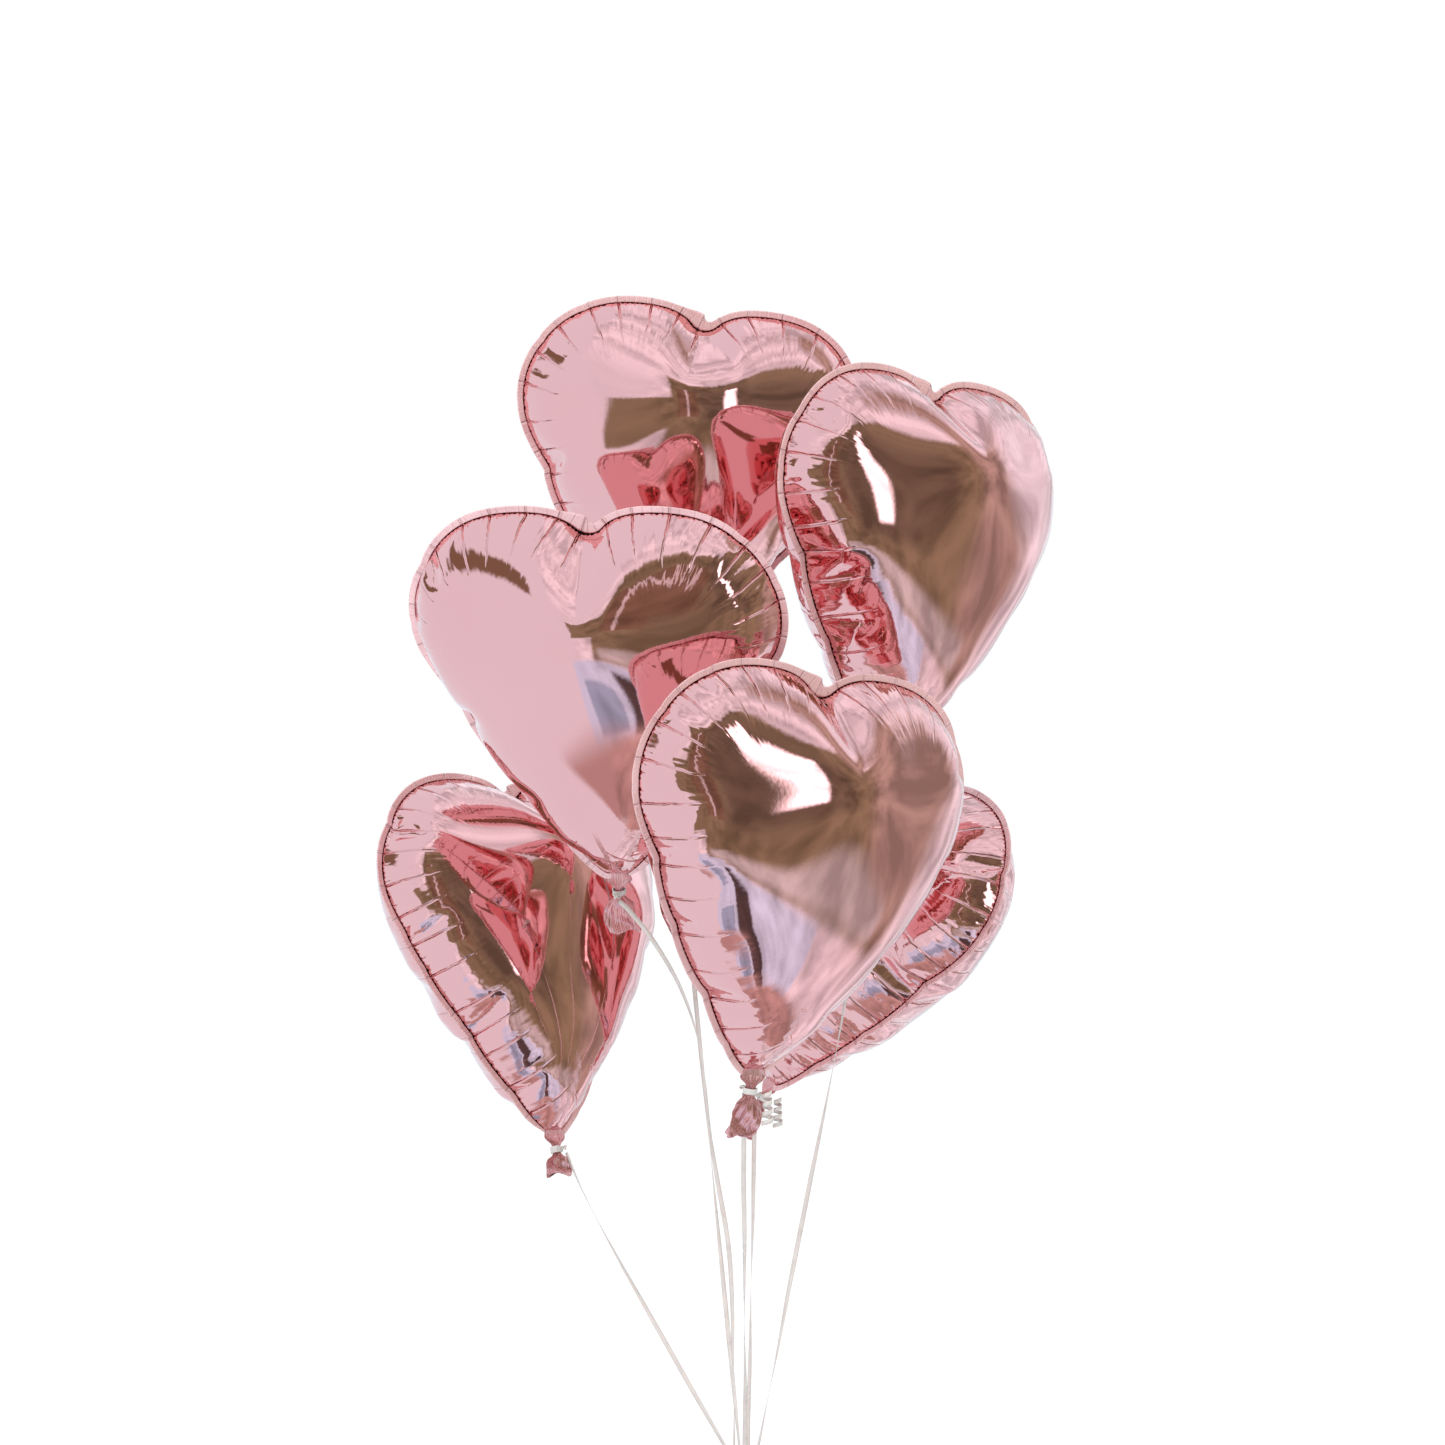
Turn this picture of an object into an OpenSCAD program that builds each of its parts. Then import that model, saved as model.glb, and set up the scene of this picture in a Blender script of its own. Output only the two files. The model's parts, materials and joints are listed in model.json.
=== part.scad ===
// Bunch of six helium-filled heart balloons on ribbons that meet in one hand knot.
// The origin is the middle of the hand knot. Every balloon is its own set of parts:
// front film, back film, filling valve, ribbon tie and ribbon.

/* [Heart] */
// Width of the inflated heart between its side seals
heart_w = 380; // [360:1:400]
// Height of the inflated heart from neck to lobe tops
heart_h = 400; // [380:1:420]
// Thickness of the inflated heart, front to back
heart_t = 208; // [150:1:220]
// Radius of the round top of each lobe
lobe_r = 97; // [90:1:100]
// Angle below level at which a lobe runs into the side of the heart
side_a = 28; // [20:1:34]
// Radius of the notch between the lobes, at the inner edge of the seal
notch_r = 16; // [12:1:24]
// Width of the heat seal round the edge
seal_w = 6; // [3:0.5:9]
// Drawn thickness of one film
film_t = 1; // [0.8:0.1:1.4]

/* [Neck and tail] */
// Width of the flat neck where the heart closes
neck_w = 28; // [24:1:34]
// Height of the neck above the ribbon tie
neck_h = 14; // [12:1:20]
// Width of the tail where the ribbon gathers it
waist_w = 8; // [6:0.5:9]
// Length of the tail below the tie
tail_l = 45; // [30:1:60]
// Width of the tail at its cut end
tail_w = 32; // [24:1:36]

/* [Valve] */
// Width of the flat valve tube
valve_w = 20; // [16:1:22]
// Height of the top of the valve above the tie
valve_h = 100; // [70:1:120]
// Thickness of the flat valve tube
valve_t = 0.5; // [0.4:0.1:0.6]

/* [Ribbon and tie] */
// Width of a ribbon, drawn here as a round cord
ribbon_d = 5; // [3:0.5:5]
// Radius of the tie ring round the waist, to the middle of the wound ribbon
tie_r = 7; // [6.5:0.1:8]
// Radius of the wound ribbon in the tie ring
wrap_r = 1.7; // [1.4:0.1:1.9]
// Radius of the tie's knot
knot_r = 4.5; // [4:0.1:5]
// Outside diameter of the curled ribbon end
curl_d = 12; // [8:1:14]
// Length of the curled ribbon end
curl_l = 34; // [24:1:40]

/* [Hand knot] */
// Radius of the hand knot
gather_r = 14; // [12:1:16]
// Height of the hand knot
gather_h = 16; // [14:1:20]
// Inside radius of the hand loop
loop_r = 30; // [24:1:36]
// Radius of the twisted ribbons that make the loop
loop_cord_r = 3; // [2:0.5:4]

/* [Hidden] */

// One row for each balloon: its name, the place of its tie, its turn (pitch, roll, then yaw
// about its own axis), and the side of the tail that the tie's knot is on (-1 front, 1 back).
BALLOONS = [
    ["center",      [   4, -190, 423], [  5, 10], 34, 1],
    ["left",        [-130,   -5, 606], [ 22, -4], -14, -1],
    ["lower_left",  [-202,  120, 320], [-14, -9], 45, -1],
    ["lower_right", [  22,  230, 362], [  3, 30], -58, -1],
    ["upper_right", [ 146,   40, 730], [  2,  7], 40, -1],
    ["upper_left",  [ -90,  250, 832], [ 12,  7], 8, -1]];

// Points that each ribbon runs through, from the hand knot up to the tie's knot.
ROUTES = [
    [[0, -12, 13], [0, -33, 64], [0, -54, 115], [-1, -75, 165], [-1, -96, 216], [-1, -117, 268],
        [-2, -138, 320], [-2, -158, 370], [-2, -179, 420]],
    [[-11, -2, 13], [-11, -3, 60], [-12, -4, 120], [-13, -5, 180], [-17, -6, 240], [-27, -7, 300],
        [-36, -8, 355], [-41, -9, 410], [-50, -10, 460], [-68, -12, 510], [-95, -13, 556],
        [-118, -14, 585], [-130, -15, 597]],
    [[-12, 7, 13], [-34, 20, 48], [-58, 34, 86], [-82, 48, 125], [-106, 62, 164], [-130, 76, 203],
        [-153, 89, 242], [-175, 102, 282], [-191, 111, 318]],
    [[3, 12, 13], [4, 38, 56], [6, 64, 100], [7, 90, 144], [8, 116, 188], [10, 143, 232],
        [11, 169, 276], [12, 195, 318], [13, 221, 361]],
    [[11, 3, 13], [23, 6, 72], [35, 8, 131], [46, 10, 190], [58, 13, 250], [70, 15, 310],
        [82, 17, 368], [94, 20, 428], [105, 22, 487], [117, 24, 546], [129, 27, 606],
        [141, 29, 665], [152, 31, 723]],
    [[-4, 10, 13], [-10, 27, 71], [-16, 43, 129], [-22, 59, 187], [-28, 75, 245], [-34, 92, 303],
        [-40, 108, 361], [-46, 124, 419], [-52, 140, 477], [-58, 157, 535], [-64, 173, 593],
        [-70, 189, 651], [-76, 205, 708], [-82, 221, 766], [-88, 238, 824]]];

foil = "#d99a95";
foil_back = "#c98884";
clear_film = "#e8e4e0";
ribbon_white = "#efe9e4";

// ---- outline of the heart: side arc, lobe arc and notch arc, mirrored ----
lobe_x = heart_w / 2 - lobe_r;
lobe_z = neck_h + heart_h - lobe_r;
corner = [neck_w / 2, neck_h];
to_lobe = [lobe_x, lobe_z] - corner;
side_d = (to_lobe * to_lobe - lobe_r * lobe_r)
    / (2 * (lobe_r + to_lobe[0] * cos(side_a) - to_lobe[1] * sin(side_a)));
side_r = side_d + lobe_r;
side_c = [lobe_x - side_d * cos(side_a), lobe_z + side_d * sin(side_a)];
notch_z = lobe_z + sqrt(pow(lobe_r + notch_r, 2) - lobe_x * lobe_x);
side_n = 7;
lobe_n = 10;
notch_n = 2;

function arc(c, r, a0, a1, n) = [for (i = [0 : n - 1]) let (a = a0 + (a1 - a0) * i / n)
    c + r * [cos(a), sin(a)]];
side_from = atan2(corner[1] - side_c[1], corner[0] - side_c[0]);
notch_from = atan2(notch_z - lobe_z, -lobe_x);
// Right half of the outline, moved outwards by o, from the neck corner to the notch
function half(o) = concat(
    arc(side_c, side_r + o, side_from, -side_a, side_n),
    arc([lobe_x, lobe_z], lobe_r + o, -side_a, notch_from, lobe_n),
    arc([0, notch_z], notch_r - o, notch_from - 180, -90, notch_n));
function outline(o) = let (h = half(o), n = len(h)) concat(
    h, [[0, notch_z - notch_r + o]], [for (i = [n - 1 : -1 : 0]) [-h[i][0], h[i][1]]]);

// ---- one film: a domed skin with a flat seal round it ----
dome_c = [0, neck_h + 275 / 400 * heart_h];
dome_h = heart_t / 2 - film_t;
outer_steps = [0.18, 0.42, 0.66, 0.85, 0.96, 1];
inner_steps = [1, 0.9, 0.7, 0.4, 0.16];
function swell(s) = dome_h * pow(1 - pow(s, 1.5), 0.6);
function ring(line, s, y) = [for (p = line) let (q = dome_c + (p - dome_c) * s) [q[0], y, q[1]]];
function film_rings() = let (edge = outline(0), inset = outline(-2.5 * film_t)) concat(
    [for (s = outer_steps) ring(edge, s, -film_t - swell(s))],
    [ring(outline(seal_w), 1, -film_t), ring(outline(seal_w), 1, 0)],
    [for (s = inner_steps) ring(inset, s, -swell(s))]);

module skin(rings, top, bottom) {
    m = len(rings[0]);
    k = len(rings);
    points = concat([for (r = rings) each r], [top, bottom]);
    polyhedron(points, concat(
        [for (j = [0 : m - 1]) [k * m, (j + 1) % m, j]],
        [for (i = [0 : k - 2], j = [0 : m - 1]) let (a = i * m + j, b = i * m + (j + 1) % m)
            each [[a, b, a + m], [b, b + m, a + m]]],
        [for (j = [0 : m - 1]) [k * m + 1, (k - 1) * m + j, (k - 1) * m + (j + 1) % m]]));
}

module tail_shape() {
    polygon([
        [-corner[0], neck_h + 6], [-corner[0], neck_h], [-waist_w / 2, 2], [-waist_w / 2, -2],
        [-tail_w / 2 + 4, -tail_l / 3], [-tail_w / 2, -tail_l], [tail_w / 2, -tail_l],
        [tail_w / 2 - 4, -tail_l / 3], [waist_w / 2, -2], [waist_w / 2, 2],
        [corner[0], neck_h], [corner[0], neck_h + 6]]);
}

module valve_shape(top) {
    polygon([[-waist_w / 2 + 0.5, 4], [-valve_w / 2, neck_h], [-valve_w / 2, top],
        [valve_w / 2, top], [valve_w / 2, neck_h], [waist_w / 2 - 0.5, 4]]);
}

// Stands a drawing in X and Z up, from y0 to y0 + t
module upright(y0, t) {
    translate([0, y0 + t, 0]) rotate([90, 0, 0]) linear_extrude(t) children();
}

module film() {
    difference() {
        union() {
            skin(film_rings(), [dome_c[0], -film_t - dome_h, dome_c[1]], [dome_c[0], -dome_h, dome_c[1]]);
            upright(-film_t, film_t) tail_shape();
        }
        upright(-valve_t / 2, valve_t) valve_shape(neck_h + 20);
    }
}

module front_film() { color(foil) film(); }

module back_film() { color(foil_back) mirror([0, 1, 0]) film(); }

module valve() { color(clear_film) upright(-valve_t / 2, valve_t) valve_shape(valve_h); }

// ---- tie: ribbon wound round the waist, with its knot beside it ----
knot_y = tie_r + wrap_r + knot_r - 2;

module tie(side) {
    color(ribbon_white) {
        rotate_extrude($fn = 48) translate([tie_r, 0]) circle(wrap_r, $fn = 24);
        translate([0, side * knot_y, 0]) sphere(knot_r, $fn = 32);
    }
}

module place(b) {
    translate(b[1]) rotate([b[2][0], b[2][1], 0]) rotate([0, 0, b[3]]) children();
}

// ---- ribbons ----
function unit(v) = v / norm(v);
function along(pts, i) = unit(pts[min(i + 1, len(pts) - 1)] - pts[max(i - 1, 0)]);

module cord(pts, d, sides = 8) {
    n = len(pts);
    points = [for (i = [0 : n - 1]) let (t = along(pts, i), u = unit(cross([0, 1, 0], t)), v = cross(t, u))
        each [for (k = [0 : sides - 1]) let (a = 360 * k / sides)
            pts[i] + d / 2 * (u * cos(a) + v * sin(a))]];
    polyhedron(points, concat(
        [[for (k = [0 : sides - 1]) k]],
        [for (i = [0 : n - 2], k = [0 : sides - 1])
            let (a = i * sides + k, b = i * sides + (k + 1) % sides)
                each [[a, a + sides, b], [b, a + sides, b + sides]]],
        [[for (k = [sides - 1 : -1 : 0]) (n - 1) * sides + k]]));
}

module ribbon(i) { color(ribbon_white) cord(ROUTES[i], ribbon_d); }

// The curled end hangs straight down beside the tie's knot
module curl(b) {
    color(ribbon_white) translate(b[1] + [tie_r + wrap_r + curl_d / 2 + 2, 0, -curl_l])
        cylinder(h = curl_l, d = curl_d, $fn = 32);
}

// ---- hand knot and loop ----
module gather_knot() {
    color(ribbon_white) rotate_extrude($fn = 64) {
        translate([0, -gather_h / 2]) square([gather_r - 5, gather_h]);
        translate([0, -gather_h / 2 + 5]) square([gather_r, gather_h - 10]);
        for (z = [-1, 1]) translate([gather_r - 5, z * (gather_h / 2 - 5)]) circle(5, $fn = 32);
    }
}

module hand_loop() {
    color(ribbon_white) difference() {
        translate([0, 0, -gather_h / 2 - loop_r - loop_cord_r]) rotate([90, 0, 0])
            rotate_extrude($fn = 96) translate([loop_r + loop_cord_r, 0]) circle(loop_cord_r, $fn = 24);
        translate([0, 0, -gather_h / 2]) cylinder(h = gather_h, r = gather_r, $fn = 64);
    }
}

for (i = [0 : len(BALLOONS) - 1]) {
    b = BALLOONS[i];
    place(b) front_film();
    place(b) back_film();
    place(b) valve();
    place(b) tie(b[4]);
    ribbon(i);
}
curl(BALLOONS[0]);  // center_curl
curl(BALLOONS[3]);  // lower_right_curl
gather_knot();
hand_loop();
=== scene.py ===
import json
import math

import bpy
import numpy as np
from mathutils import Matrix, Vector
from mathutils.geometry import delaunay_2d_cdt


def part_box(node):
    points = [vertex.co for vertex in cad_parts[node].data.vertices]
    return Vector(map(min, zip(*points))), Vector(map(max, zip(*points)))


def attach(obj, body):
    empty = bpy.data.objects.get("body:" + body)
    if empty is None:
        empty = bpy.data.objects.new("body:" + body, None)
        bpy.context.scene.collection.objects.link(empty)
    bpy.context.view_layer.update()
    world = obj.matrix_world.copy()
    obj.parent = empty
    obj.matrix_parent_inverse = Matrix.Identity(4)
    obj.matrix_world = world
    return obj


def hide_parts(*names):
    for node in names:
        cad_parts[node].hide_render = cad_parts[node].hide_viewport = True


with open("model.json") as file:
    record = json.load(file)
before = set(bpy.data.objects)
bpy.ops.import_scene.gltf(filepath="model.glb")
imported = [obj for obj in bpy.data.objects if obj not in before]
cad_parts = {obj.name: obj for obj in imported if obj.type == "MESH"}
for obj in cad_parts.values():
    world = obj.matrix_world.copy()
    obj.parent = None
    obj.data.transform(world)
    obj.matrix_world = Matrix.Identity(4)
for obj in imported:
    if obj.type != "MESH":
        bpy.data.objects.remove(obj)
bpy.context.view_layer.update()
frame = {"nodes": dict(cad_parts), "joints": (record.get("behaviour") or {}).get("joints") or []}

scene = bpy.context.scene
scene.view_settings.view_transform = "Standard"


# ---------------------------------------------------------------- camera
# A long lens held level at about the middle of the bunch, three metres in front of it.
camera = bpy.data.objects.new("camera", bpy.data.cameras.new("camera"))
camera.data.lens = 72
camera.data.sensor_width = 36
camera.data.clip_end = 60
camera.location = (-0.023, -3.0, 0.781)
camera.rotation_euler = (math.radians(90), 0, 0)
scene.collection.objects.link(camera)
scene.camera = camera


# ---------------------------------------------------------------- ribbons
# Each balloon hangs on a length of white curling ribbon: a glossy plastic strip 5 mm wide, ribbed along
# its length, tied to the tail and pulled straight by the balloon's lift. It turns slowly as it runs.
RIBBON_W = 0.005
RIBBON_T = 0.0004
RIBBON_STEP = 0.004
# radians of turn for each metre
RIBBON_TURN = 9
MM = 0.001
# the way of each ribbon from the hand knot up to its tie, in millimetres
ROUTES = {
    "center": [(0, -12, 13), (0, -33, 64), (0, -54, 115), (-1, -75, 165), (-1, -96, 216), (-1, -117, 268),
               (-2, -138, 320), (-2, -158, 370), (-2, -179, 420)],
    "left": [(-11, -2, 13), (-11, -3, 60), (-12, -4, 120), (-13, -5, 180), (-17, -6, 240), (-27, -7, 300),
             (-36, -8, 355), (-41, -9, 410), (-50, -10, 460), (-68, -12, 510), (-95, -13, 556),
             (-118, -14, 585), (-130, -15, 597)],
    "lower_left": [(-12, 7, 13), (-34, 20, 48), (-58, 34, 86), (-82, 48, 125), (-106, 62, 164),
                   (-130, 76, 203), (-153, 89, 242), (-175, 102, 282), (-191, 111, 318)],
    "lower_right": [(3, 12, 13), (4, 38, 56), (6, 64, 100), (7, 90, 144), (8, 116, 188), (10, 143, 232),
                    (11, 169, 276), (12, 195, 318), (13, 221, 361)],
    "upper_right": [(11, 3, 13), (23, 6, 72), (35, 8, 131), (46, 10, 190), (58, 13, 250), (70, 15, 310),
                    (82, 17, 368), (94, 20, 428), (105, 22, 487), (117, 24, 546), (129, 27, 606),
                    (141, 29, 665), (152, 31, 723)],
    "upper_left": [(-4, 10, 13), (-10, 27, 71), (-16, 43, 129), (-22, 59, 187), (-28, 75, 245),
                   (-34, 92, 303), (-40, 108, 361), (-46, 124, 419), (-52, 140, 477), (-58, 157, 535),
                   (-64, 173, 593), (-70, 189, 651), (-76, 205, 708), (-82, 221, 766), (-88, 238, 824)],
}


class Value:
    """A number socket in a node tree. Python's operators on it add Math nodes."""

    def __init__(self, tree, socket):
        self.tree = tree
        self.socket = socket

    def math(self, operation, *others, swap=False):
        """A Math node on this value and the others, with its inputs in turned order if swap is set."""
        node = self.tree.tree.nodes.new("ShaderNodeMath")
        node.operation = operation
        sides = [self, *others]
        for slot, side in zip(node.inputs, sides[::-1] if swap else sides):
            self.tree.feed(slot, side)
        return Value(self.tree, node.outputs[0])

    def other(self, output):
        """Another output of the same node, by its number or name."""
        return Value(self.tree, self.socket.node.outputs[output])

    def __add__(self, other):
        return self.math("ADD", other)

    def __sub__(self, other):
        return self.math("SUBTRACT", other)

    def __rsub__(self, other):
        return self.math("SUBTRACT", other, swap=True)

    def __mul__(self, other):
        return self.math("MULTIPLY", other)

    def __neg__(self):
        return self.math("MULTIPLY", -1.0)


class Nodes:
    """The nodes of one material or of the world, with one method that adds any node."""

    def __init__(self, tree):
        self.tree = tree

    def feed(self, slot, value):
        if isinstance(value, Value):
            self.tree.links.new(value.socket, slot)
        else:
            slot.default_value = value

    def add(self, kind, settings=None, stops=None, out=0, **inputs):
        """Adds a node of that kind, sets its settings and ramp stops, then its inputs by name."""
        node = self.tree.nodes.new("ShaderNode" + kind)
        for name, value in (settings or {}).items():
            setattr(node, name, value)
        if stops:
            ramp = node.color_ramp
            while len(ramp.elements) > 1:
                ramp.elements.remove(ramp.elements[-1])
            for i, (place, colour) in enumerate(stops):
                stop = ramp.elements[0] if i == 0 else ramp.elements.new(place)
                stop.position = place
                stop.color = (*colour, 1)
        for name, value in inputs.items():
            numbered = name[0] == "i" and name[1:].isdigit()
            slot = int(name[1:]) if numbered else name.replace("_", " ")
            self.feed(node.inputs[slot], value)
        return Value(self, node.outputs[out])

    def mix(self, share, a, b):
        """The colour a where share is 0, and b where it is 1."""
        return self.add("Mix", {"data_type": "RGBA"}, out=2, i0=share, i6=a, i7=b)

    def step(self, value, low, high):
        """0 below low and 1 above high, with a smooth rise between them."""
        return self.add("MapRange", {"interpolation_type": "SMOOTHSTEP"},
                        i0=value, i1=low, i2=high, i3=0.0, i4=1.0)


def finish_named(name, **constants):
    """A new material with its Principled shader's constant sockets set, as (material, nodes, shader)."""
    material = bpy.data.materials.new(name)
    material.use_nodes = True
    shader = material.node_tree.nodes["Principled BSDF"]
    for key, value in constants.items():
        shader.inputs[key.replace("_", " ")].default_value = value
    return material, Nodes(material.node_tree), shader


def new_piece(name, points, faces, material, uv=None):
    """Puts arrays of points and faces into a mesh object; uv holds one pair for every point."""
    mesh = bpy.data.meshes.new(name)
    mesh.from_pydata(np.asarray(points, float).tolist(), [], [list(f) for f in faces])
    mesh.update()
    mesh.shade_smooth()
    mesh.materials.append(material)
    if uv is not None:
        corners = np.zeros(len(mesh.loops), np.int32)
        mesh.loops.foreach_get("vertex_index", corners)
        layer = mesh.uv_layers.new(name="UVMap")
        layer.uv.foreach_set("vector", np.asarray(uv, np.float32)[corners].ravel())
    piece = bpy.data.objects.new(name, mesh)
    scene.collection.objects.link(piece)
    return piece


def grid_faces(rows, columns, closed_rows=False, closed_columns=False):
    """Quads that join the points of a grid of rows by columns, wrapped round where it is closed."""
    r = np.arange(rows if closed_rows else rows - 1)[:, None]
    c = np.arange(columns if closed_columns else columns - 1)[None]
    up, side = (r + 1) % rows, (c + 1) % columns
    return np.stack([r * columns + c, r * columns + side, up * columns + side, up * columns + c],
                    -1).reshape(-1, 4)


def smooth_route(points, spacing):
    """A smooth line through the points: cubic Hermite pieces whose slopes are half the chord between
    each point's neighbours, then stations at equal spacing along it."""
    p = np.asarray(points, float)
    slope = np.gradient(p, axis=0)
    t = np.linspace(0, 1, 24, endpoint=False)[None, :, None]
    a, b, da, db = p[:-1, None], p[1:, None], slope[:-1, None], slope[1:, None]
    line = (2 * t**3 - 3 * t**2 + 1) * a + (t**3 - 2 * t**2 + t) * da \
        + (3 * t**2 - 2 * t**3) * b + (t**3 - t**2) * db
    line = np.vstack([line.reshape(-1, 3), p[-1:]])
    run = np.concatenate([[0], np.cumsum(np.linalg.norm(np.diff(line, axis=0), axis=1))])
    stations = np.linspace(0, run[-1], int(run[-1] / spacing) + 1)
    return np.stack([np.interp(stations, run, line[:, k]) for k in range(3)], 1), run[-1]


def across(line, hint):
    """For each station: the unit direction of the line, and two unit directions across it, the first
    as near to hint as it can be."""
    along = np.gradient(line, axis=0)
    along /= np.linalg.norm(along, axis=1)[:, None]
    first = hint - (hint * along).sum(1)[:, None] * along
    first /= np.linalg.norm(first, axis=1)[:, None]
    return along, first, np.cross(along, first)


def strip(line, side, face, width, thick):
    """A flat strip along a line: six points round each station, three on each face, at plus and minus
    half the width along side and half the thickness along face, the middle ones raised a little."""
    u = np.array([-1, 0, 1, 1, 0, -1]) * width / 2
    v = np.array([-1, -1.6, -1, 1, 1.6, 1]) * thick / 2
    points = line[:, None] + u[None, :, None] * side[:, None] + v[None, :, None] * face[:, None]
    n = len(line)
    ends = [(3, 4, 1, 2), (4, 5, 0, 1)]
    last = (n - 1) * 6
    caps = [tuple(last + k for k in quad[::-1]) for quad in ends] + ends
    uv = np.stack(np.broadcast_arrays((u / width + 0.5)[None], np.arange(n)[:, None] * 1.0), -1)
    return points.reshape(-1, 3), list(grid_faces(n, 6, closed_columns=True)) + caps, uv.reshape(-1, 2)


ribbon_finish, tree, shader = finish_named(
    "ribbon_plastic", Roughness=0.28, Specular_IOR_Level=0.6, Subsurface_Weight=0.15, Subsurface_Scale=0.002)
place = tree.add("TexCoord", out=2)
lines = tree.add("TexWave", {"wave_type": "BANDS", "bands_direction": "X"}, Vector=place, Scale=5.0,
                 Distortion=0.0)
cloud = tree.add("TexNoise", Vector=tree.add("TexCoord", out=3), Scale=60.0, Detail=3.0)
tree.feed(shader.inputs["Base Color"], tree.mix(cloud, (0.42, 0.39, 0.37, 1), (0.60, 0.56, 0.54, 1)))
tree.feed(shader.inputs["Roughness"], cloud * 0.2 + 0.2)
tree.feed(shader.inputs["Normal"], tree.add("Bump", Strength=0.25, Distance=0.0002, Height=lines))

for number, (name, route) in enumerate(ROUTES.items()):
    line, length = smooth_route(np.array(route) * MM, RIBBON_STEP)
    along, side, face = across(line, np.array([1.0, 0.0, 0.0]))
    turn = np.linspace(0, 1, len(line)) * length * RIBBON_TURN + number
    turned = side * np.cos(turn)[:, None] + face * np.sin(turn)[:, None]
    points, faces, uv = strip(line, turned, np.cross(along, turned), RIBBON_W, RIBBON_T)
    ribbon = new_piece(name + "_ribbon_strip", points, faces, ribbon_finish, uv)
    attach(ribbon, name + "_ribbon_body")
    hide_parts(name + "_ribbon")


# ---------------------------------------------------------------- balloon films
# Each balloon is two sheets of rose gold metallised film, cut to the same flat heart 456 mm wide and
# heat-sealed round the edge. Helium swells them, so the seam shortens and puckers into folds.
FLAT_W = 0.456
FLAT_LOBE = 0.145
FLAT_LOBE_Z = 0.310
FLAT_NECK = 0.015
FLAT_NOTCH = 0.050
SIDE_ANGLE = math.radians(18)
MESH_STEP = 0.006
NECK_LIFT = -0.011
SEAL_W = 0.007
NOTCH_SEAL_W = 0.018
SEAL_DEPTHS = (-0.002, -0.004, -0.006)
FILM_T = 0.00025
# a swollen heart is the flat one drawn in to these shares, its neck this much higher
SHRINK_X = 0.84
SHRINK_Z = 0.88
SHRINK_LIFT = 0.025
CALM_PASSES = 22
BULGE_KEPT = 0.22
FOLD_KEPT = 0.60
PUCKER_KEPT = 0.35
NOTCH_LIFT = 0.026

# pitch, roll and turn about its own axis, in degrees, and which inflation and mirror it takes
BALLOONS = {
    "center": ((5, 10, 34), 0, 1, 1),
    "left": ((22, -4, -14), 1, 1, 1),
    "lower_left": ((-14, -9, 45), 0, -1, 1),
    "lower_right": ((3, 30, -58), 1, -1, 1),
    "upper_right": ((2, 7, 40), 1, 1, -1),
    "upper_left": ((12, 7, 8), 0, 1, -1),
}


def flat_heart(step):
    """The flat outline, anticlockwise from the right of the neck, at equal steps. Its right half is three
    arcs that run into each other: the side, the lobe, and the hollow of the notch; the left mirrors it."""
    x = FLAT_W / 2 - FLAT_LOBE
    c, s = math.cos(SIDE_ANGLE), math.sin(SIDE_ANGLE)
    reach = x - FLAT_NECK
    back = (reach**2 + FLAT_LOBE_Z**2 - FLAT_LOBE**2) / (2 * (FLAT_LOBE + reach * c - FLAT_LOBE_Z * s))
    middle = np.array([x - back * c, FLAT_LOBE_Z + back * s])
    notch = np.array([0, FLAT_LOBE_Z + math.sqrt((FLAT_LOBE + FLAT_NOTCH)**2 - x**2)])

    def arc(centre, radius, start, end, count):
        turn = np.linspace(start, end, count)[:, None]
        return centre + radius * np.hstack([np.cos(turn), np.sin(turn)])

    start = math.atan2(-middle[1], FLAT_NECK - middle[0])
    meet = math.atan2(notch[1] - FLAT_LOBE_Z, -x)
    half = np.vstack([
        arc(middle, back + FLAT_LOBE, start, -SIDE_ANGLE, 400),
        arc([x, FLAT_LOBE_Z], FLAT_LOBE, -SIDE_ANGLE, meet, 400)[1:],
        arc(notch, FLAT_NOTCH, meet - math.pi, -math.pi / 2, 60)[1:]])
    whole = np.vstack([half, half[::-1][1:] * [-1, 1], half[:1]])
    run = np.concatenate([[0], np.cumsum(np.linalg.norm(np.diff(whole, axis=0), axis=1))])
    count = int(round(run[-1] / step))
    at = np.arange(count) * run[-1] / count
    return np.stack([np.interp(at, run, whole[:, 0]), np.interp(at, run, whole[:, 1])], 1)


def inside(points, outline):
    """True for each point from which a ray crosses the closed outline an odd number of times."""
    x, y = points[:, :1], points[:, 1:]
    x0, y0 = outline.T
    x1, y1 = np.roll(x0, -1), np.roll(y0, -1)
    crossed = ((y0 > y) != (y1 > y)) & (x < (x1 - x0) * (y - y0) / (y1 - y0 + 1e-30) + x0)
    return crossed.sum(1) % 2 == 1


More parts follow.
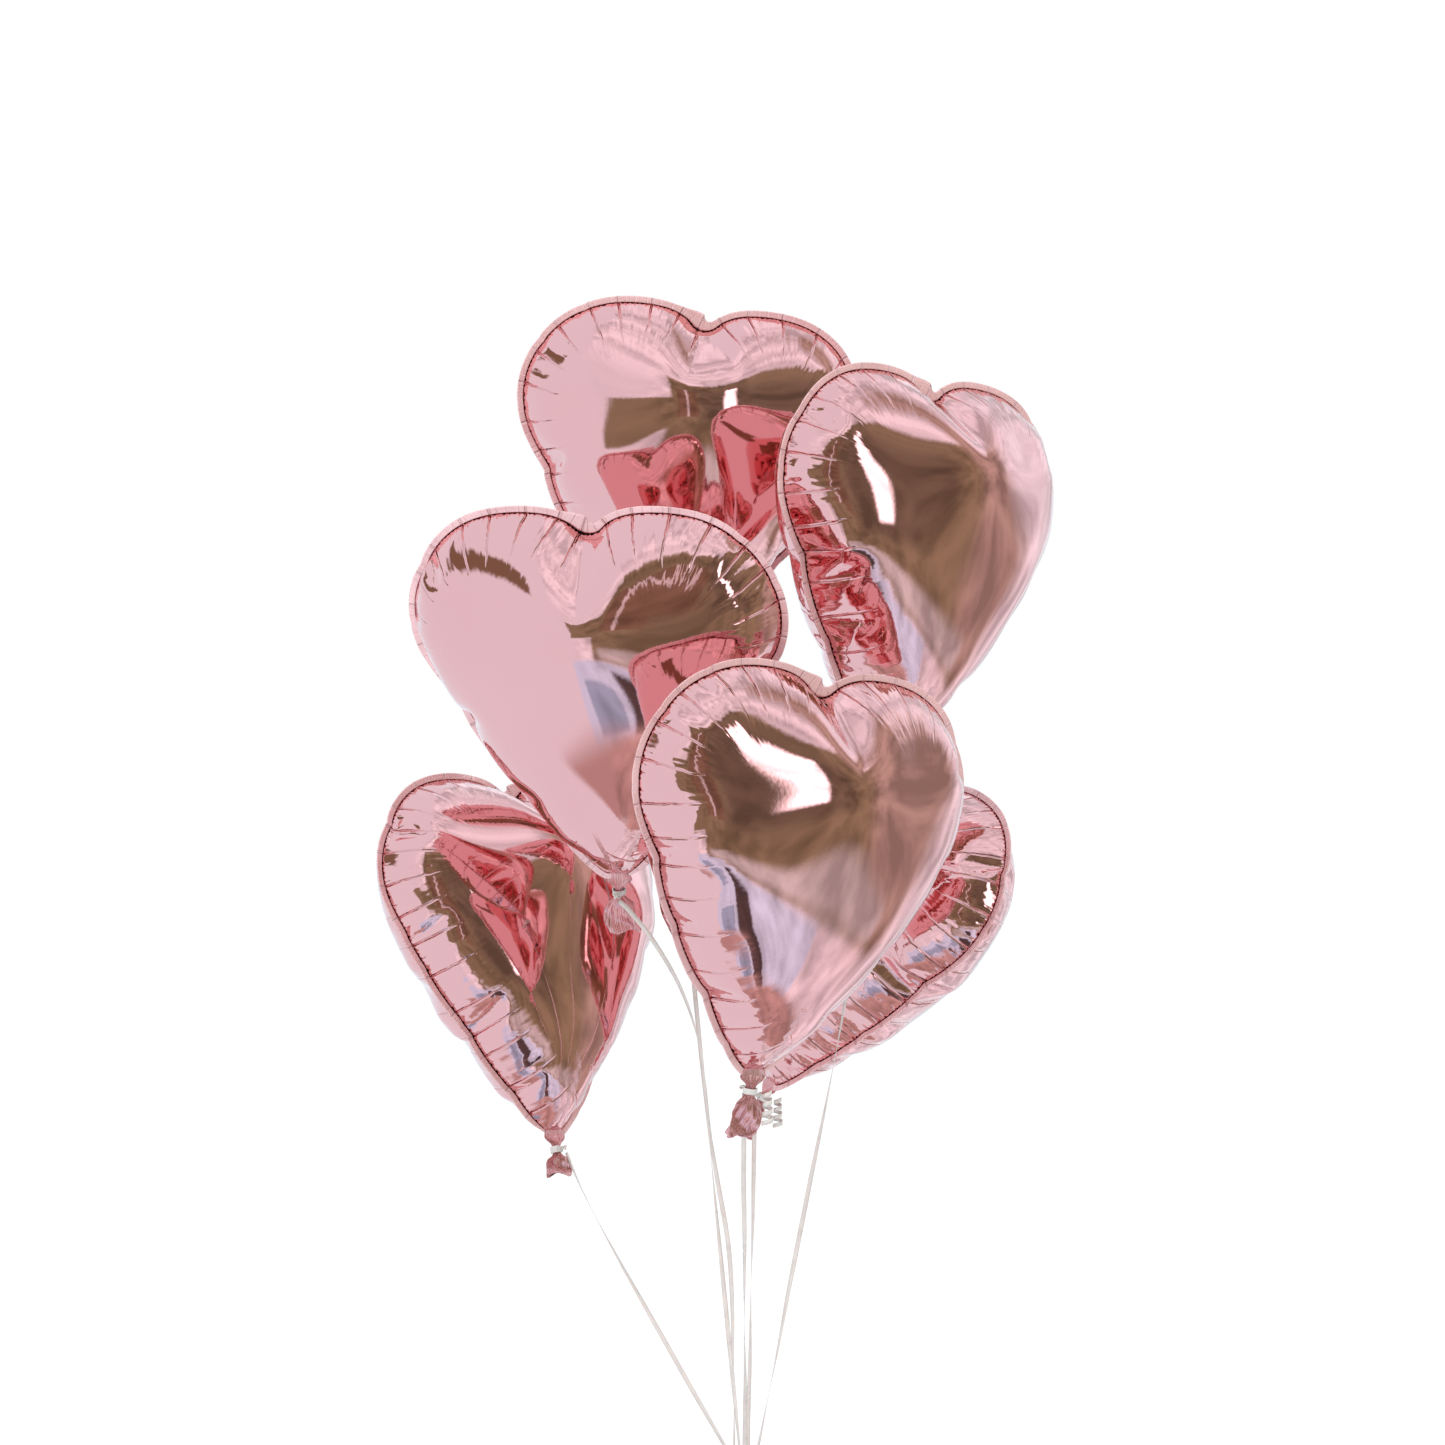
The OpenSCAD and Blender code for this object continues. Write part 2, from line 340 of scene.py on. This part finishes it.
def flat_sheet(seed, turn):
    """The cut sheet as a triangle mesh: its outline, then a turned and slightly shaken honeycomb of
    points inside. Gives points, triangles, how many lie on the outline, the distance of each from it,
    and how far round the outline each lies, counted in outline points."""
    outline = flat_heart(MESH_STEP)
    rng = np.random.default_rng(seed)
    count = int(1 / MESH_STEP)
    i, j = np.meshgrid(np.arange(-count, count), np.arange(-count, count))
    comb = np.stack([(i + 0.5 * (j % 2)) * MESH_STEP, j * MESH_STEP * math.sqrt(0.75)], -1).reshape(-1, 2)
    c, s = math.cos(turn), math.sin(turn)
    comb = comb @ np.array([[c, s], [-s, c]]) + [0, FLAT_W / 2]
    comb += rng.uniform(-0.12, 0.12, comb.shape) * MESH_STEP
    comb = comb[(abs(comb[:, 0]) < FLAT_W / 2) & (comb[:, 1] > 0) & (comb[:, 1] < FLAT_W)]
    comb = comb[inside(comb, outline)]
    gaps = np.linalg.norm(comb[:, None] - outline[None], axis=2)
    kept = gaps.min(1) > 0.62 * MESH_STEP
    points = np.vstack([outline, comb[kept]])
    n = len(outline)
    loop = [(k, (k + 1) % n) for k in range(n)]
    found = delaunay_2d_cdt([Vector(p) for p in points], loop, [], 1, 1e-7)
    triangles = np.array(found[2])
    a, b, c = points[triangles].transpose(1, 0, 2)
    turned = (b - a)[:, 0] * (c - a)[:, 1] - (b - a)[:, 1] * (c - a)[:, 0] < 0
    triangles[turned] = triangles[turned][:, ::-1]
    distance = np.concatenate([np.zeros(n), gaps.min(1)[kept]])
    close = gaps.argmin(1)[kept]
    before, after = outline[close - 1], outline[(close + 1) % n]
    chord = after - before
    shift = ((points[n:] - outline[close]) * chord).sum(1) / (chord**2).sum(1) * 2
    return points, triangles, n, distance, np.concatenate([np.arange(n), close + np.clip(shift, -1, 1)])


def inflate(seed, turn):
    """Seals two flat sheets round the edge and blows them up with Cloth: stiff in stretch, soft in
    compression and bending, so the spare edge folds. Worked out four times life size, where the solver
    is steadier. Gives the front points, the back points, then what flat_sheet gives but its points."""
    flat, triangles, n, distance, around = flat_sheet(seed, turn)
    m = len(flat)
    big = 4.0
    rng = np.random.default_rng(seed + 100)
    puff = 0.004 * np.sqrt(np.clip(distance / 0.1, 0, 1))
    shake = rng.normal(0, 0.0004, (2, m)) * (distance > 0)
    front = np.stack([flat[:, 0], shake[0] - puff, flat[:, 1]], 1)
    back = np.stack([flat[:, 0], shake[1] + puff, flat[:, 1]], 1)
    back_number = np.concatenate([np.arange(n), m + np.arange(m - n)])
    points = np.vstack([front, back[n:]])
    faces = np.vstack([triangles, back_number[triangles][:, ::-1]])
    mesh = bpy.data.meshes.new("inflating")
    mesh.from_pydata((points * big).tolist(), [], faces.tolist())
    bag = bpy.data.objects.new("inflating", mesh)
    scene.collection.objects.link(bag)
    cloth = bag.modifiers.new("cloth", "CLOTH")
    values = {"quality": 6, "mass": 0.1, "air_damping": 5, "tension_stiffness": 200,
              "compression_stiffness": 3, "shear_stiffness": 3, "bending_stiffness": 10,
              "tension_damping": 5, "compression_damping": 5, "shear_damping": 5,
              "bending_damping": 0.5, "use_pressure": True, "uniform_pressure_force": 5}
    for key, value in values.items():
        setattr(cloth.settings, key, value)
    cloth.settings.effector_weights.gravity = 0
    cloth.collision_settings.use_collision = False
    frames = 34
    cloth.point_cache.frame_start = scene.frame_start = 1
    cloth.point_cache.frame_end = scene.frame_end = frames
    for number in range(1, frames + 1):
        scene.frame_set(number)
    swollen = bag.evaluated_get(bpy.context.evaluated_depsgraph_get()).to_mesh()
    flown = np.zeros(len(swollen.vertices) * 3)
    swollen.vertices.foreach_get("co", flown)
    points = flown.reshape(-1, 3) / big
    bpy.data.objects.remove(bag)
    scene.frame_set(1)
    return points[:m], points[back_number], triangles, n, distance, around


def neighbour_mean(points, triangles):
    """Each point's mean of the points it shares an edge with."""
    total, count = np.zeros_like(points), np.zeros(len(points))
    for a, b in ((0, 1), (1, 2), (2, 0), (1, 0), (2, 1), (0, 2)):
        np.add.at(total, triangles[:, a], points[triangles[:, b]])
        np.add.at(count, triangles[:, a], 1)
    return total / np.maximum(count, 1)[:, None]


def taut(points, triangles, n):
    """Pulls a swollen sheet tauter. The sheet is smoothed, its edge only along itself; then each point
    goes back towards its own place by BULGE_KEPT where it stood out, and by FOLD_KEPT where it lay in
    a fold, so that pillows go flat and creases stay."""
    base = points.copy()
    for _ in range(CALM_PASSES):
        base[:n] = (np.roll(base[:n], 1, axis=0) + 2 * base[:n] + np.roll(base[:n], -1, axis=0)) / 4
        mean = neighbour_mean(base, triangles)
        base[n:] = (base[n:] + mean[n:]) / 2
    normal = np.zeros_like(base)
    a, b, c = base[triangles].transpose(1, 0, 2)
    facing = np.cross(b - a, c - a)
    for k in range(3):
        np.add.at(normal, triangles[:, k], facing)
    along = np.roll(base[:n], -1, axis=0) - np.roll(base[:n], 1, axis=0)
    normal[:n] = np.stack([along[:, 2], 0 * along[:, 0], -along[:, 0]], 1)
    normal /= np.linalg.norm(normal, axis=1)[:, None] + 1e-12
    away = points - base
    out = (away * normal).sum(1)
    share = FOLD_KEPT + (BULGE_KEPT - FOLD_KEPT) / (1 + np.exp(-out / 0.0006))
    return base + away * share[:, None]


def rounded(values, times):
    """Values round a closed loop, each averaged with its neighbours that many times."""
    for _ in range(times):
        values = (np.roll(values, 1, axis=0) + 2 * values + np.roll(values, -1, axis=0)) / 4
    return values


def eased(points, triangles, n, distance, around):
    """Draws in the puckers of the seam and the cleft of the notch. What the seam has besides the shrunk
    flat outline is smoothed round the loop, but for PUCKER_KEPT of it; the sheet follows its seam with
    a fall-off of 35 mm; then the middle and the web by the notch are smoothed, and the web is lifted."""
    flat = flat_heart(MESH_STEP)
    shrunk = np.stack([flat[:, 0] * SHRINK_X, 0 * flat[:, 0], flat[:, 1] * SHRINK_Z + SHRINK_LIFT], 1)
    extra = points[:n] - shrunk
    shift = (1 - PUCKER_KEPT) * (rounded(extra, 140) - extra)
    closed = np.vstack([shift, shift[:1]])
    spread = np.stack([np.interp(around % n, np.arange(n + 1), closed[:, k]) for k in range(3)], 1)
    points = points + spread * np.exp(-(distance / 0.035)**2)[:, None]
    near = np.exp(-(points[:, 0] / 0.06)**2 - ((points[:, 2] - points[n // 2, 2]) / 0.08)**2)[:, None]
    calm = np.maximum(0.6 * near, 0.5 * np.clip(distance / 0.05 - 1, 0, 1)[:, None])
    for _ in range(40):
        mean = neighbour_mean(points, triangles)
        points[n:] += calm[n:] * (mean - points)[n:]
    return points + [0, 0, NOTCH_LIFT] * near


def turned_to(name):
    """A balloon's rotation: its turn about its own axis first, then pitch about X, then roll about Y."""
    pitch, roll, yaw = np.radians(BALLOONS[name][0])
    about_z = np.array([[np.cos(yaw), -np.sin(yaw), 0], [np.sin(yaw), np.cos(yaw), 0], [0, 0, 1]])
    about_x = np.array([[1, 0, 0], [0, np.cos(pitch), -np.sin(pitch)], [0, np.sin(pitch), np.cos(pitch)]])
    about_y = np.array([[np.cos(roll), 0, np.sin(roll)], [0, 1, 0], [-np.sin(roll), 0, np.cos(roll)]])
    return about_y @ about_x @ about_z


def tie_place(name):
    """The middle of a balloon's tie, where its swivel turns."""
    return np.array(next(j["pos_m"] for j in frame["joints"] if j["name"] == name + "_swivel"))


def stand(name, points):
    """Points of a balloon lying at its own tie, carried to where the balloon floats."""
    return points @ turned_to(name).T + tie_place(name)


def seal_rings(loop, seed):
    """The flat seal outside the seam, as rings of points at a third, two thirds and all of its width.
    Outwards is square to the seam in its own plane; the width swells in the notch, and the seal waves
    a little to each side where the seam has puckered."""
    along = np.roll(loop, -1, axis=0) - np.roll(loop, 1, axis=0)
    out = rounded(np.stack([along[:, 2], 0 * along[:, 0], -along[:, 0]], 1), 4)
    out /= np.linalg.norm(out, axis=1)[:, None]
    n = len(loop)
    at = np.minimum(np.arange(n), n - np.arange(n)) / n
    notch = np.exp(-((at - 0.5) / 0.016)**2)
    neck = np.exp(-(at / 0.012)**2)
    width = SEAL_W + (NOTCH_SEAL_W - SEAL_W) * notch - 0.6 * SEAL_W * neck
    rng = np.random.default_rng(seed)
    wave = rounded(rng.normal(0, 1, n), 6)
    wave = 0.0016 * wave / np.abs(wave).max() * (1 - neck)
    rings = []
    for share in (1 / 3, 2 / 3, 1.0):
        moved = loop + out * (width * share)[:, None]
        moved[:, 1] += wave * share**2
        rings.append(moved)
    return rings


def film_wall(piece):
    """Subdivides a film once and gives it its thickness inwards."""
    smooth = piece.modifiers.new("smooth", "SUBSURF")
    smooth.levels = smooth.render_levels = 1
    smooth.use_limit_surface = False
    wall = piece.modifiers.new("wall", "SOLIDIFY")
    wall.thickness = FILM_T
    wall.offset = -1


foil_finish, tree, shader = finish_named("rose_gold_foil", Metallic=1.0)
uv = tree.add("UVMap", {"uv_map": "UVMap"})
place = tree.add("TexCoord", out=3)
round_seam = tree.add("SeparateXYZ", Vector=uv)
depth = round_seam.other(1)
near_seam = 1 - tree.step(depth, 0.018, 0.072)
seal = 1 - tree.step(depth, -0.0012, 0.0)
cells = tree.add("TexVoronoi", {"voronoi_dimensions": "1D", "feature": "DISTANCE_TO_EDGE"},
                 W=round_seam * 34, Scale=1.0, Randomness=0.6)
creases = (1 - tree.step(cells, 0.0, 0.055)) * near_seam
fine = tree.add("TexVoronoi", {"voronoi_dimensions": "1D", "feature": "DISTANCE_TO_EDGE"},
                W=round_seam * 90, Scale=1.0, Randomness=1.0)
ticks = (1 - tree.step(fine, 0.0, 0.10)) * (1 - tree.step(depth, 0.002, 0.014))
stretched = tree.add("VectorMath", {"operation": "MULTIPLY"}, i0=uv, i1=(1.0, 0.16, 0.0))
pleats = tree.add("TexNoise", Vector=stretched, Scale=58.0, Detail=2.0)
pleated = pleats * (1 - tree.step(depth, 0.012, 0.105))
dimples = tree.add("TexNoise", Vector=place, Scale=9.0, Detail=1.0)
crinkle = tree.add("TexNoise", Vector=place, Scale=260.0, Detail=2.0)
tint = tree.add("TexNoise", Vector=place, Scale=7.0, Detail=2.0)
warm = tree.mix(tint, (0.84, 0.40, 0.41, 1), (0.86, 0.44, 0.44, 1))
# painted shade: the base colour is darkened to a deep red along the creases near the seam, standing in for
# the shade and dark reflections inside the folds
foil_with_painted_crease_shade = tree.mix(creases * 0.45, warm, (0.56, 0.20, 0.20, 1))
tree.feed(shader.inputs["Base Color"], tree.mix(seal, foil_with_painted_crease_shade, (0.88, 0.54, 0.55, 1)))
tree.feed(shader.inputs["Metallic"], 1 - seal * 0.45)
tree.feed(shader.inputs["Roughness"], crinkle * 0.03 + 0.035 + seal * 0.40)
relief = creases * -0.0016 + ticks * -0.0004 + pleated * 0.0018 + dimples * 0.0008 + crinkle * 0.000012
tree.feed(shader.inputs["Normal"], tree.add("Bump", Strength=1.0, Distance=1.0, Height=relief))

inflations = [inflate(3, math.radians(11)), inflate(8, math.radians(37))]
cut_x, cut_z = flat_heart(MESH_STEP).T

shaped = []
for front, back, triangles, n, distance, around in inflations:
    front = eased(taut(front, triangles, n), triangles, n, distance, around)
    back = eased(taut(back, triangles[:, ::-1], n), triangles, n, distance, around)
    back[:n] = front[:n]
    shaped.append((front, back, triangles, n, distance, around))

for order, (name, (_, which, flip_x, flip_y)) in enumerate(BALLOONS.items()):
    front, back, triangles, n, distance, around = shaped[which]
    if flip_y < 0:
        front, back = back * [1, -1, 1], front * [1, -1, 1]
    flip = np.array([flip_x, 1, 1])
    rings = seal_rings(front[:n], seed=order)
    for film, panel, outward in (("front_film", front, -1), ("back_film", back, 1)):
        shifted = [panel + [0, outward * FILM_T, 0]] + [r + [0, outward * FILM_T, 0] for r in rings]
        points = np.vstack(shifted) * flip + [0, 0, NECK_LIFT]
        m = len(panel)
        ring = np.arange(n)
        step = np.roll(ring, -1)
        starts = [0, m, m + n, m + 2 * n]
        quads = [np.stack([step + a, ring + a, ring + b, step + b], 1) for a, b in zip(starts, starts[1:])]
        faces = [tuple(f) for f in triangles] + [tuple(q[::-1]) for quad in quads for q in quad]
        if outward * flip_x > 0:
            faces = [f[::-1] for f in faces]
        along_seam = np.concatenate([around, ring, ring, ring]) / n
        depth_in = np.concatenate([distance, *(np.full(n, at) for at in SEAL_DEPTHS)])
        uv = np.stack([along_seam, depth_in], 1)
        piece = new_piece(name + "_" + film + "_skin", stand(name, points), faces, foil_finish, uv)
        film_wall(piece)
        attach(piece, name + "_balloon")
        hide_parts(name + "_" + film)
        "foil" if film == "front_film" else "foil_back"


# ---------------------------------------------------------------- tails
# Below the heart the two films run on as a flat filling tail, cut square at its end. The ribbon gathers it
# into a bunch of pleats, so it is crumpled above the tie and flares out below it.
TAIL_PROFILE = np.array([
    # height, width, thickness, pleat depth: millimetres, and a share of the radius
    (22, 24, 1.2, 0.00), (17, 29, 1.6, 0.02), (13, 29, 3.2, 0.08), (10, 22, 6.0, 0.16), (7, 13, 7.5, 0.20),
    (4, 9.0, 8.0, 0.04), (-4, 9.0, 8.0, 0.04), (-8, 15, 9.0, 0.22), (-12, 24, 10, 0.24),
    (-22, 31, 9.0, 0.20), (-34, 32, 7.0, 0.16), (-45, 33, 6.0, 0.12)])
TAIL_BELOW = {"lower_left": 0.55}


def tail(seed, below):
    """A tube whose cross-section is an oval of the profile's width and thickness at each height. Its
    radius is pleated by waves round the tube, whose phases drift with height, and its end is uneven.
    What hangs under the tie is below times as long."""
    rng = np.random.default_rng(seed)
    rows = 34
    columns = 72
    h = np.linspace(TAIL_PROFILE[0, 0], TAIL_PROFILE[-1, 0], rows)
    width, thick, deep = (np.interp(-h, -TAIL_PROFILE[:, 0], TAIL_PROFILE[:, k])[:, None] for k in (1, 2, 3))
    h = h[:, None]
    turn = np.linspace(0, 2 * np.pi, columns, endpoint=False)[None]
    pleats = sum(size * np.sin(count * turn + rng.uniform(0, 6.3) + h * rng.uniform(-0.16, 0.16))
                 for count, size in ((5, 0.35), (8, 0.45), (13, 0.35), (21, 0.22)))
    sharp = np.abs(pleats)**0.8 * np.sign(pleats)
    radius = 1 + deep * sharp
    low = np.clip(-h / 45, 0, 1)
    x = width / 2 * np.cos(turn) * radius + low * 2.5 * np.sin(h * 0.13 + rng.uniform(0, 6.3))
    y = thick / 2 * np.sin(turn) * radius + low * 3.5 * np.sin(turn * 2 + h * 0.17 + rng.uniform(0, 6.3))
    z = np.where(h < -6, -6 + below * (h + 6), h) + low**4 * 2.0 * np.sin(3 * turn + rng.uniform(0, 6.3))
    points = np.stack([x, y, z], -1).reshape(-1, 3) * MM
    uv = np.stack(np.broadcast_arrays(turn / (2 * np.pi), 0.003 + 0 * h), -1).reshape(-1, 2)
    return points, grid_faces(rows, columns, closed_columns=True)[:, ::-1], uv


for order, name in enumerate(BALLOONS):
    points, faces, uv = tail(40 + order, TAIL_BELOW.get(name, 1.0))
    piece = new_piece(name + "_tail", stand(name, points), faces, foil_finish, uv)
    film_wall(piece)
    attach(piece, name + "_balloon")


# ---------------------------------------------------------------- filling valves
# A flat tube of clear film is sealed between the two films at the neck. The gas goes in through it, and
# its walls cling together when the filling stops. It lies inside the balloon, where it is barely seen.
valve_finish, tree, shader = finish_named("clear_valve_film", Alpha=0.55)
haze = tree.add("TexNoise", Vector=tree.add("TexCoord", out=3), Scale=90.0, Detail=3.0)
tree.feed(shader.inputs["Base Color"], tree.mix(haze, (0.86, 0.84, 0.83, 1), (0.94, 0.92, 0.91, 1)))
tree.feed(shader.inputs["Roughness"], haze * 0.25 + 0.12)
tree.feed(shader.inputs["Normal"], tree.add("Bump", Strength=0.3, Distance=0.001, Height=haze))
for name in BALLOONS:
    valve = frame["nodes"][name + "_valve"]
    valve.data.materials.clear()
    valve.data.materials.append(valve_finish)


# ---------------------------------------------------------------- ties
# The ribbon is wound tightly three times round the gathered tail and knotted at its side; the wound
# ribbon bunches into a narrow cord. Where an end was left long it hangs as a curl.
KNOT_OUT = 0.0112


def tube(line, side, face, wide, thick, columns, closed=False):
    """An oval tube along a line: at each station, wide times cosine along side plus thick times sine
    along face. An open tube is closed by running its first and last rings in to a point."""
    turn = np.linspace(0, 2 * np.pi, columns, endpoint=False)
    size = np.ones(len(line))
    if not closed:
        line = np.vstack([line[:1], line, line[-1:]])
        side, face = (np.vstack([v[:1], v, v[-1:]]) for v in (side, face))
        size = np.concatenate([[0.02], size, [0.02]])
    round_it = wide * np.cos(turn)[:, None] * side[:, None] + thick * np.sin(turn)[:, None] * face[:, None]
    points = line[:, None] + size[:, None, None] * round_it
    n = len(line)
    uv = np.stack(np.broadcast_arrays(turn[None] / (2 * np.pi), np.arange(n)[:, None] * 1.0), -1)
    faces = [tuple(f) for f in grid_faces(n, columns, closed_rows=closed, closed_columns=True)]
    if not closed:
        faces += [tuple(range(columns))[::-1], tuple(range((n - 1) * columns, n * columns))]
    return points.reshape(-1, 3), faces, uv.reshape(-1, 2)


def joined(parts):
    """Several sets of points, faces and uv as one."""
    points, faces, uv, start = [], [], [], 0
    for some, quads, layer in parts:
        points.append(some)
        uv.append(layer)
        faces += [tuple(k + start for k in quad) for quad in quads]
        start += len(some)
    return np.vstack(points), faces, np.vstack(uv)


def overhand(count):
    """A closed three-crossing knot, 6 across and 2 thick: x and y are a circle of 1 plus a circle of 2
    that turns back twice as fast, and z is minus the sine of three times the angle."""
    t = np.linspace(0, 2 * np.pi, count, endpoint=False)
    return np.stack([np.sin(t) + 2 * np.sin(2 * t), np.cos(t) - 2 * np.cos(2 * t), -np.sin(3 * t)], 1)


def closed_across(line):
    """As across(), for a closed line: its first direction across leans away from the knot's middle."""
    along = np.roll(line, -1, axis=0) - np.roll(line, 1, axis=0)
    along /= np.linalg.norm(along, axis=1)[:, None]
    hint = np.cross(along, [0, 0, 1.0])
    first = hint / np.linalg.norm(hint, axis=1)[:, None]
    return along, first, np.cross(along, first)


TIE_SIDE = {name: 1 if name == "center" else -1 for name in BALLOONS}
CURLED = ("center", "lower_right")
CURL_R = 0.0055
CURL_PITCH = 0.0095
CURL_L = 0.034
for order, name in enumerate(BALLOONS):
    t = np.linspace(0, 1, 110)[:, None]
    turn = 2 * np.pi * 3.4 * t + order
    winding = np.hstack([0.0064 * np.cos(turn), 0.0060 * np.sin(turn), 0.0052 * (t - 0.5)])
    along, side, face = across(winding, np.array([0, 0, 1.0]))
    wound = tube(winding, side, face, 0.0014, 0.0009, 10)
    loop = overhand(120) * [0.00125, 0.00125, 0.0013]
    along, side, face = closed_across(loop)
    knot = tube(loop, side, face, 0.0013, 0.0010, 12, closed=True)
    knot = (knot[0] + [0, TIE_SIDE[name] * KNOT_OUT, 0], knot[1], knot[2])
    for part, (points, faces, uv) in (("winding", wound), ("knot", knot)):
        piece = new_piece(name + "_tie_" + part, stand(name, points), faces, ribbon_finish, uv)
        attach(piece, name + "_tie_body")
    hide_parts(name + "_tie")

for name in CURLED:
    low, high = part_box(name + "_curl")
    middle = (np.array(low) + np.array(high)) / 2
    t = np.linspace(0, 1, 130)[:, None]
    turn = 2 * np.pi * CURL_L / CURL_PITCH * t + math.pi
    swell = CURL_R * (0.72 + 0.28 * t)
    helix = middle + np.hstack([-swell * np.cos(turn), swell * np.sin(turn), CURL_L * (0.46 - 0.92 * t)])
    along, side, face = across(helix, np.array([0, 0, 1.0]))
    points, faces, uv = strip(helix, side, face, RIBBON_W * 0.9, RIBBON_T)
    length = float(np.linalg.norm(np.diff(helix, axis=0), axis=1).sum())
    piece = new_piece(name + "_curled_end", points, faces, ribbon_finish, uv)
    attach(piece, name + "_tie_body")
    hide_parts(name + "_curl")


# ---------------------------------------------------------------- hand knot and loop
# All six ribbons are laid together and tied in one overhand knot, and their ends are twisted and brought
# back to make a loop for a hand, a hook or a weight.
STRANDS = 6
STRAND_R = 0.0013


def twisted(line, side, face, reach, turns, closed=False):
    """Six strands laid round a line: each is a tube whose centre stands off by reach, at its own angle,
    and turns round the line as it runs."""
    n = len(line)
    t = np.arange(n) / (n if closed else n - 1)
    parts = []
    for k in range(STRANDS):
        turn = (2 * np.pi * (t * turns + k / STRANDS))[:, None]
        strand = line + reach * (side * np.cos(turn) + face * np.sin(turn))
        _, a, b = closed_across(strand) if closed else across(strand, side)
        parts.append(tube(strand, a, b, STRAND_R * 1.25, STRAND_R * 0.8, 8, closed))
    return joined(parts)


bundle = overhand(180) * [0.0034, 0.0034, 0.0044]
_, side, face = closed_across(bundle)
parts = [twisted(bundle, side, face, 0.0024, 3, closed=True)]
for name, route in ROUTES.items():
    top = np.array(route[0]) * MM
    t = np.linspace(0, 1, 16)[:, None]
    lead = top * [0.3, 0.3, 0.1] * (1 - t) + top * t
    _, side, face = across(lead, np.array([1.0, 0.2, 0]))
    parts.append(tube(lead, side, face, 0.0022, 0.0007, 8))
points, faces, uv = joined(parts)
piece = new_piece("hand_knot", points, faces, ribbon_finish, uv)
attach(piece, "hand_body")
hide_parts("gather_knot")

low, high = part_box("hand_loop")
ring_r = (high.x - low.x) / 2 - 0.003
turn = np.linspace(np.radians(21), np.radians(339), 150)[:, None]
ring = np.hstack([ring_r * np.sin(turn), 0 * turn, low.z + 0.003 + ring_r * (1 + np.cos(turn))])
_, side, face = across(ring, np.array([0, 1.0, 0]))
points, faces, uv = twisted(ring, side, face, 0.0017, 9)
piece = new_piece("hand_loop_twist", points, faces, ribbon_finish, uv)
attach(piece, "hand_body")
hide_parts("hand_loop")
length = float(np.linalg.norm(np.diff(ring, axis=0), axis=1).sum())


# ---------------------------------------------------------------- studio
# A pale floor well below the bunch, and a bright room for the foil to mirror: white paper to the left and
# below, a dim brown room with a tall window in front to the right, and small panes low in front.
floor_finish, tree, shader = finish_named("pale_floor", Roughness=0.9)
cloud = tree.add("TexNoise", Vector=tree.add("TexCoord", out=3), Scale=0.7)
tree.feed(shader.inputs["Base Color"], tree.mix(cloud, (0.90, 0.90, 0.90, 1), (0.93, 0.93, 0.93, 1)))
FLOOR_Z = -0.9
reach = 30.0
corners = [(-reach, -reach, FLOOR_Z), (reach, -reach, FLOOR_Z), (reach, reach, FLOOR_Z),
           (-reach, reach, FLOOR_Z)]
floor = new_piece("floor", corners, [(0, 1, 2, 3)], floor_finish)
floor.visible_glossy = False

world = bpy.data.worlds.new("studio")
scene.world = world
world.use_nodes = True
sky = Nodes(world.node_tree)
east = sky.add("SeparateXYZ", Vector=sky.add("TexCoord"))
north = east.other(1)
up = east.other(2)
azimuth = east.math("ARCTAN2", -north) * (180 / math.pi)
height = up.math("ARCSINE") * (180 / math.pi)


def patch(left, right, low, high, edge=1.5):
    """1 inside that range of directions, in degrees to the right of the camera and above level."""
    return sky.step(azimuth, left - edge, left + edge) * (1 - sky.step(azimuth, right - edge, right + edge)) \
        * sky.step(height, low - edge, low + edge) * (1 - sky.step(height, high - edge, high + edge))


# what the foil mirrors: colours, each with its (left, right, low, high, edge) in degrees
lights = [
    ((0.90, 1.12, 1.21), None),
    ((0.28, 0.29, 0.18), (-12, 112, -37, 40, 2)),
    ((0.28, 0.29, 0.18), (-29, -10, -14, 13, 1)),
    ((0.48, 0.48, 0.41), (84, 118, -37, 62, 9)),
    ((0.64, 0.80, 0.80), (-8, 100, -36, -27, 3)),
    ((0.19, 0.19, 0.13), (11, 60, -12, 34, 8)),
    ((0.23, 0.19, 0.12), (-110, -52, 22, 36, 2)),
    ((0.22, 0.18, 0.12), (-7, 11, -8, 27, 1)),
    ((0.69, 0.78, 0.80), (1, 3, -8, 27, 0.6)),
    ((2.6, 3.1, 3.2), (31, 40, -3, 30, 1.5)),
    ((0.73, 1.12, 1.41), (-34, 66, -62, -38, 1.5)),
    ((0.39, 0.65, 0.89), (-28, -8, -60, -48, 1)),
    ((0.11, 0.10, 0.10), (-4, 14, -62, -42, 1.5)),
    ((0.55, 0.47, 0.44), (-60, 130, -88, -60, 5)),
]
colour = (*lights[0][0], 1)
for shade, where in lights[1:]:
    colour = sky.mix(patch(*where), colour, (*shade, 1))
mottle = sky.add("TexNoise", Vector=sky.add("TexCoord"), Scale=5.0, Detail=4.0)
shadows = sky.add("ValToRGB", stops=[(0.34, (0.62, 0.60, 0.58)), (0.66, (1.30, 1.28, 1.26))], Fac=mottle)
indoors = sky.step(azimuth, -34, -14) * 0.9
colour = sky.add("Mix", {"data_type": "RGBA", "blend_type": "MULTIPLY"}, out=2, i0=indoors, i6=colour,
                 i7=shadows)
seen = sky.add("LightPath")
matt = seen.other("Is Diffuse Ray")
colour = sky.mix(seen, colour, (1.0, 1.0, 1.0, 1))
colour = sky.mix(matt, colour, (1.2, 1.2, 1.2, 1))
background = world.node_tree.nodes["Background"]
sky.feed(background.inputs["Color"], colour)

for name, spot, aim, size, power in [
        ("key_light", (-1.6, -2.2, 2.6), (0, 0, 0.7), 1.2, 60),
        ("fill_light", (2.0, -1.6, 1.8), (0, 0, 0.6), 1.0, 25)]:
    lamp = bpy.data.objects.new(name, bpy.data.lights.new(name, "AREA"))
    lamp.data.size = size
    lamp.data.energy = power
    lamp.location = spot
    lamp.rotation_euler = (Vector(aim) - Vector(spot)).to_track_quat("-Z", "Y").to_euler()
    lamp.visible_glossy = False
    scene.collection.objects.link(lamp)
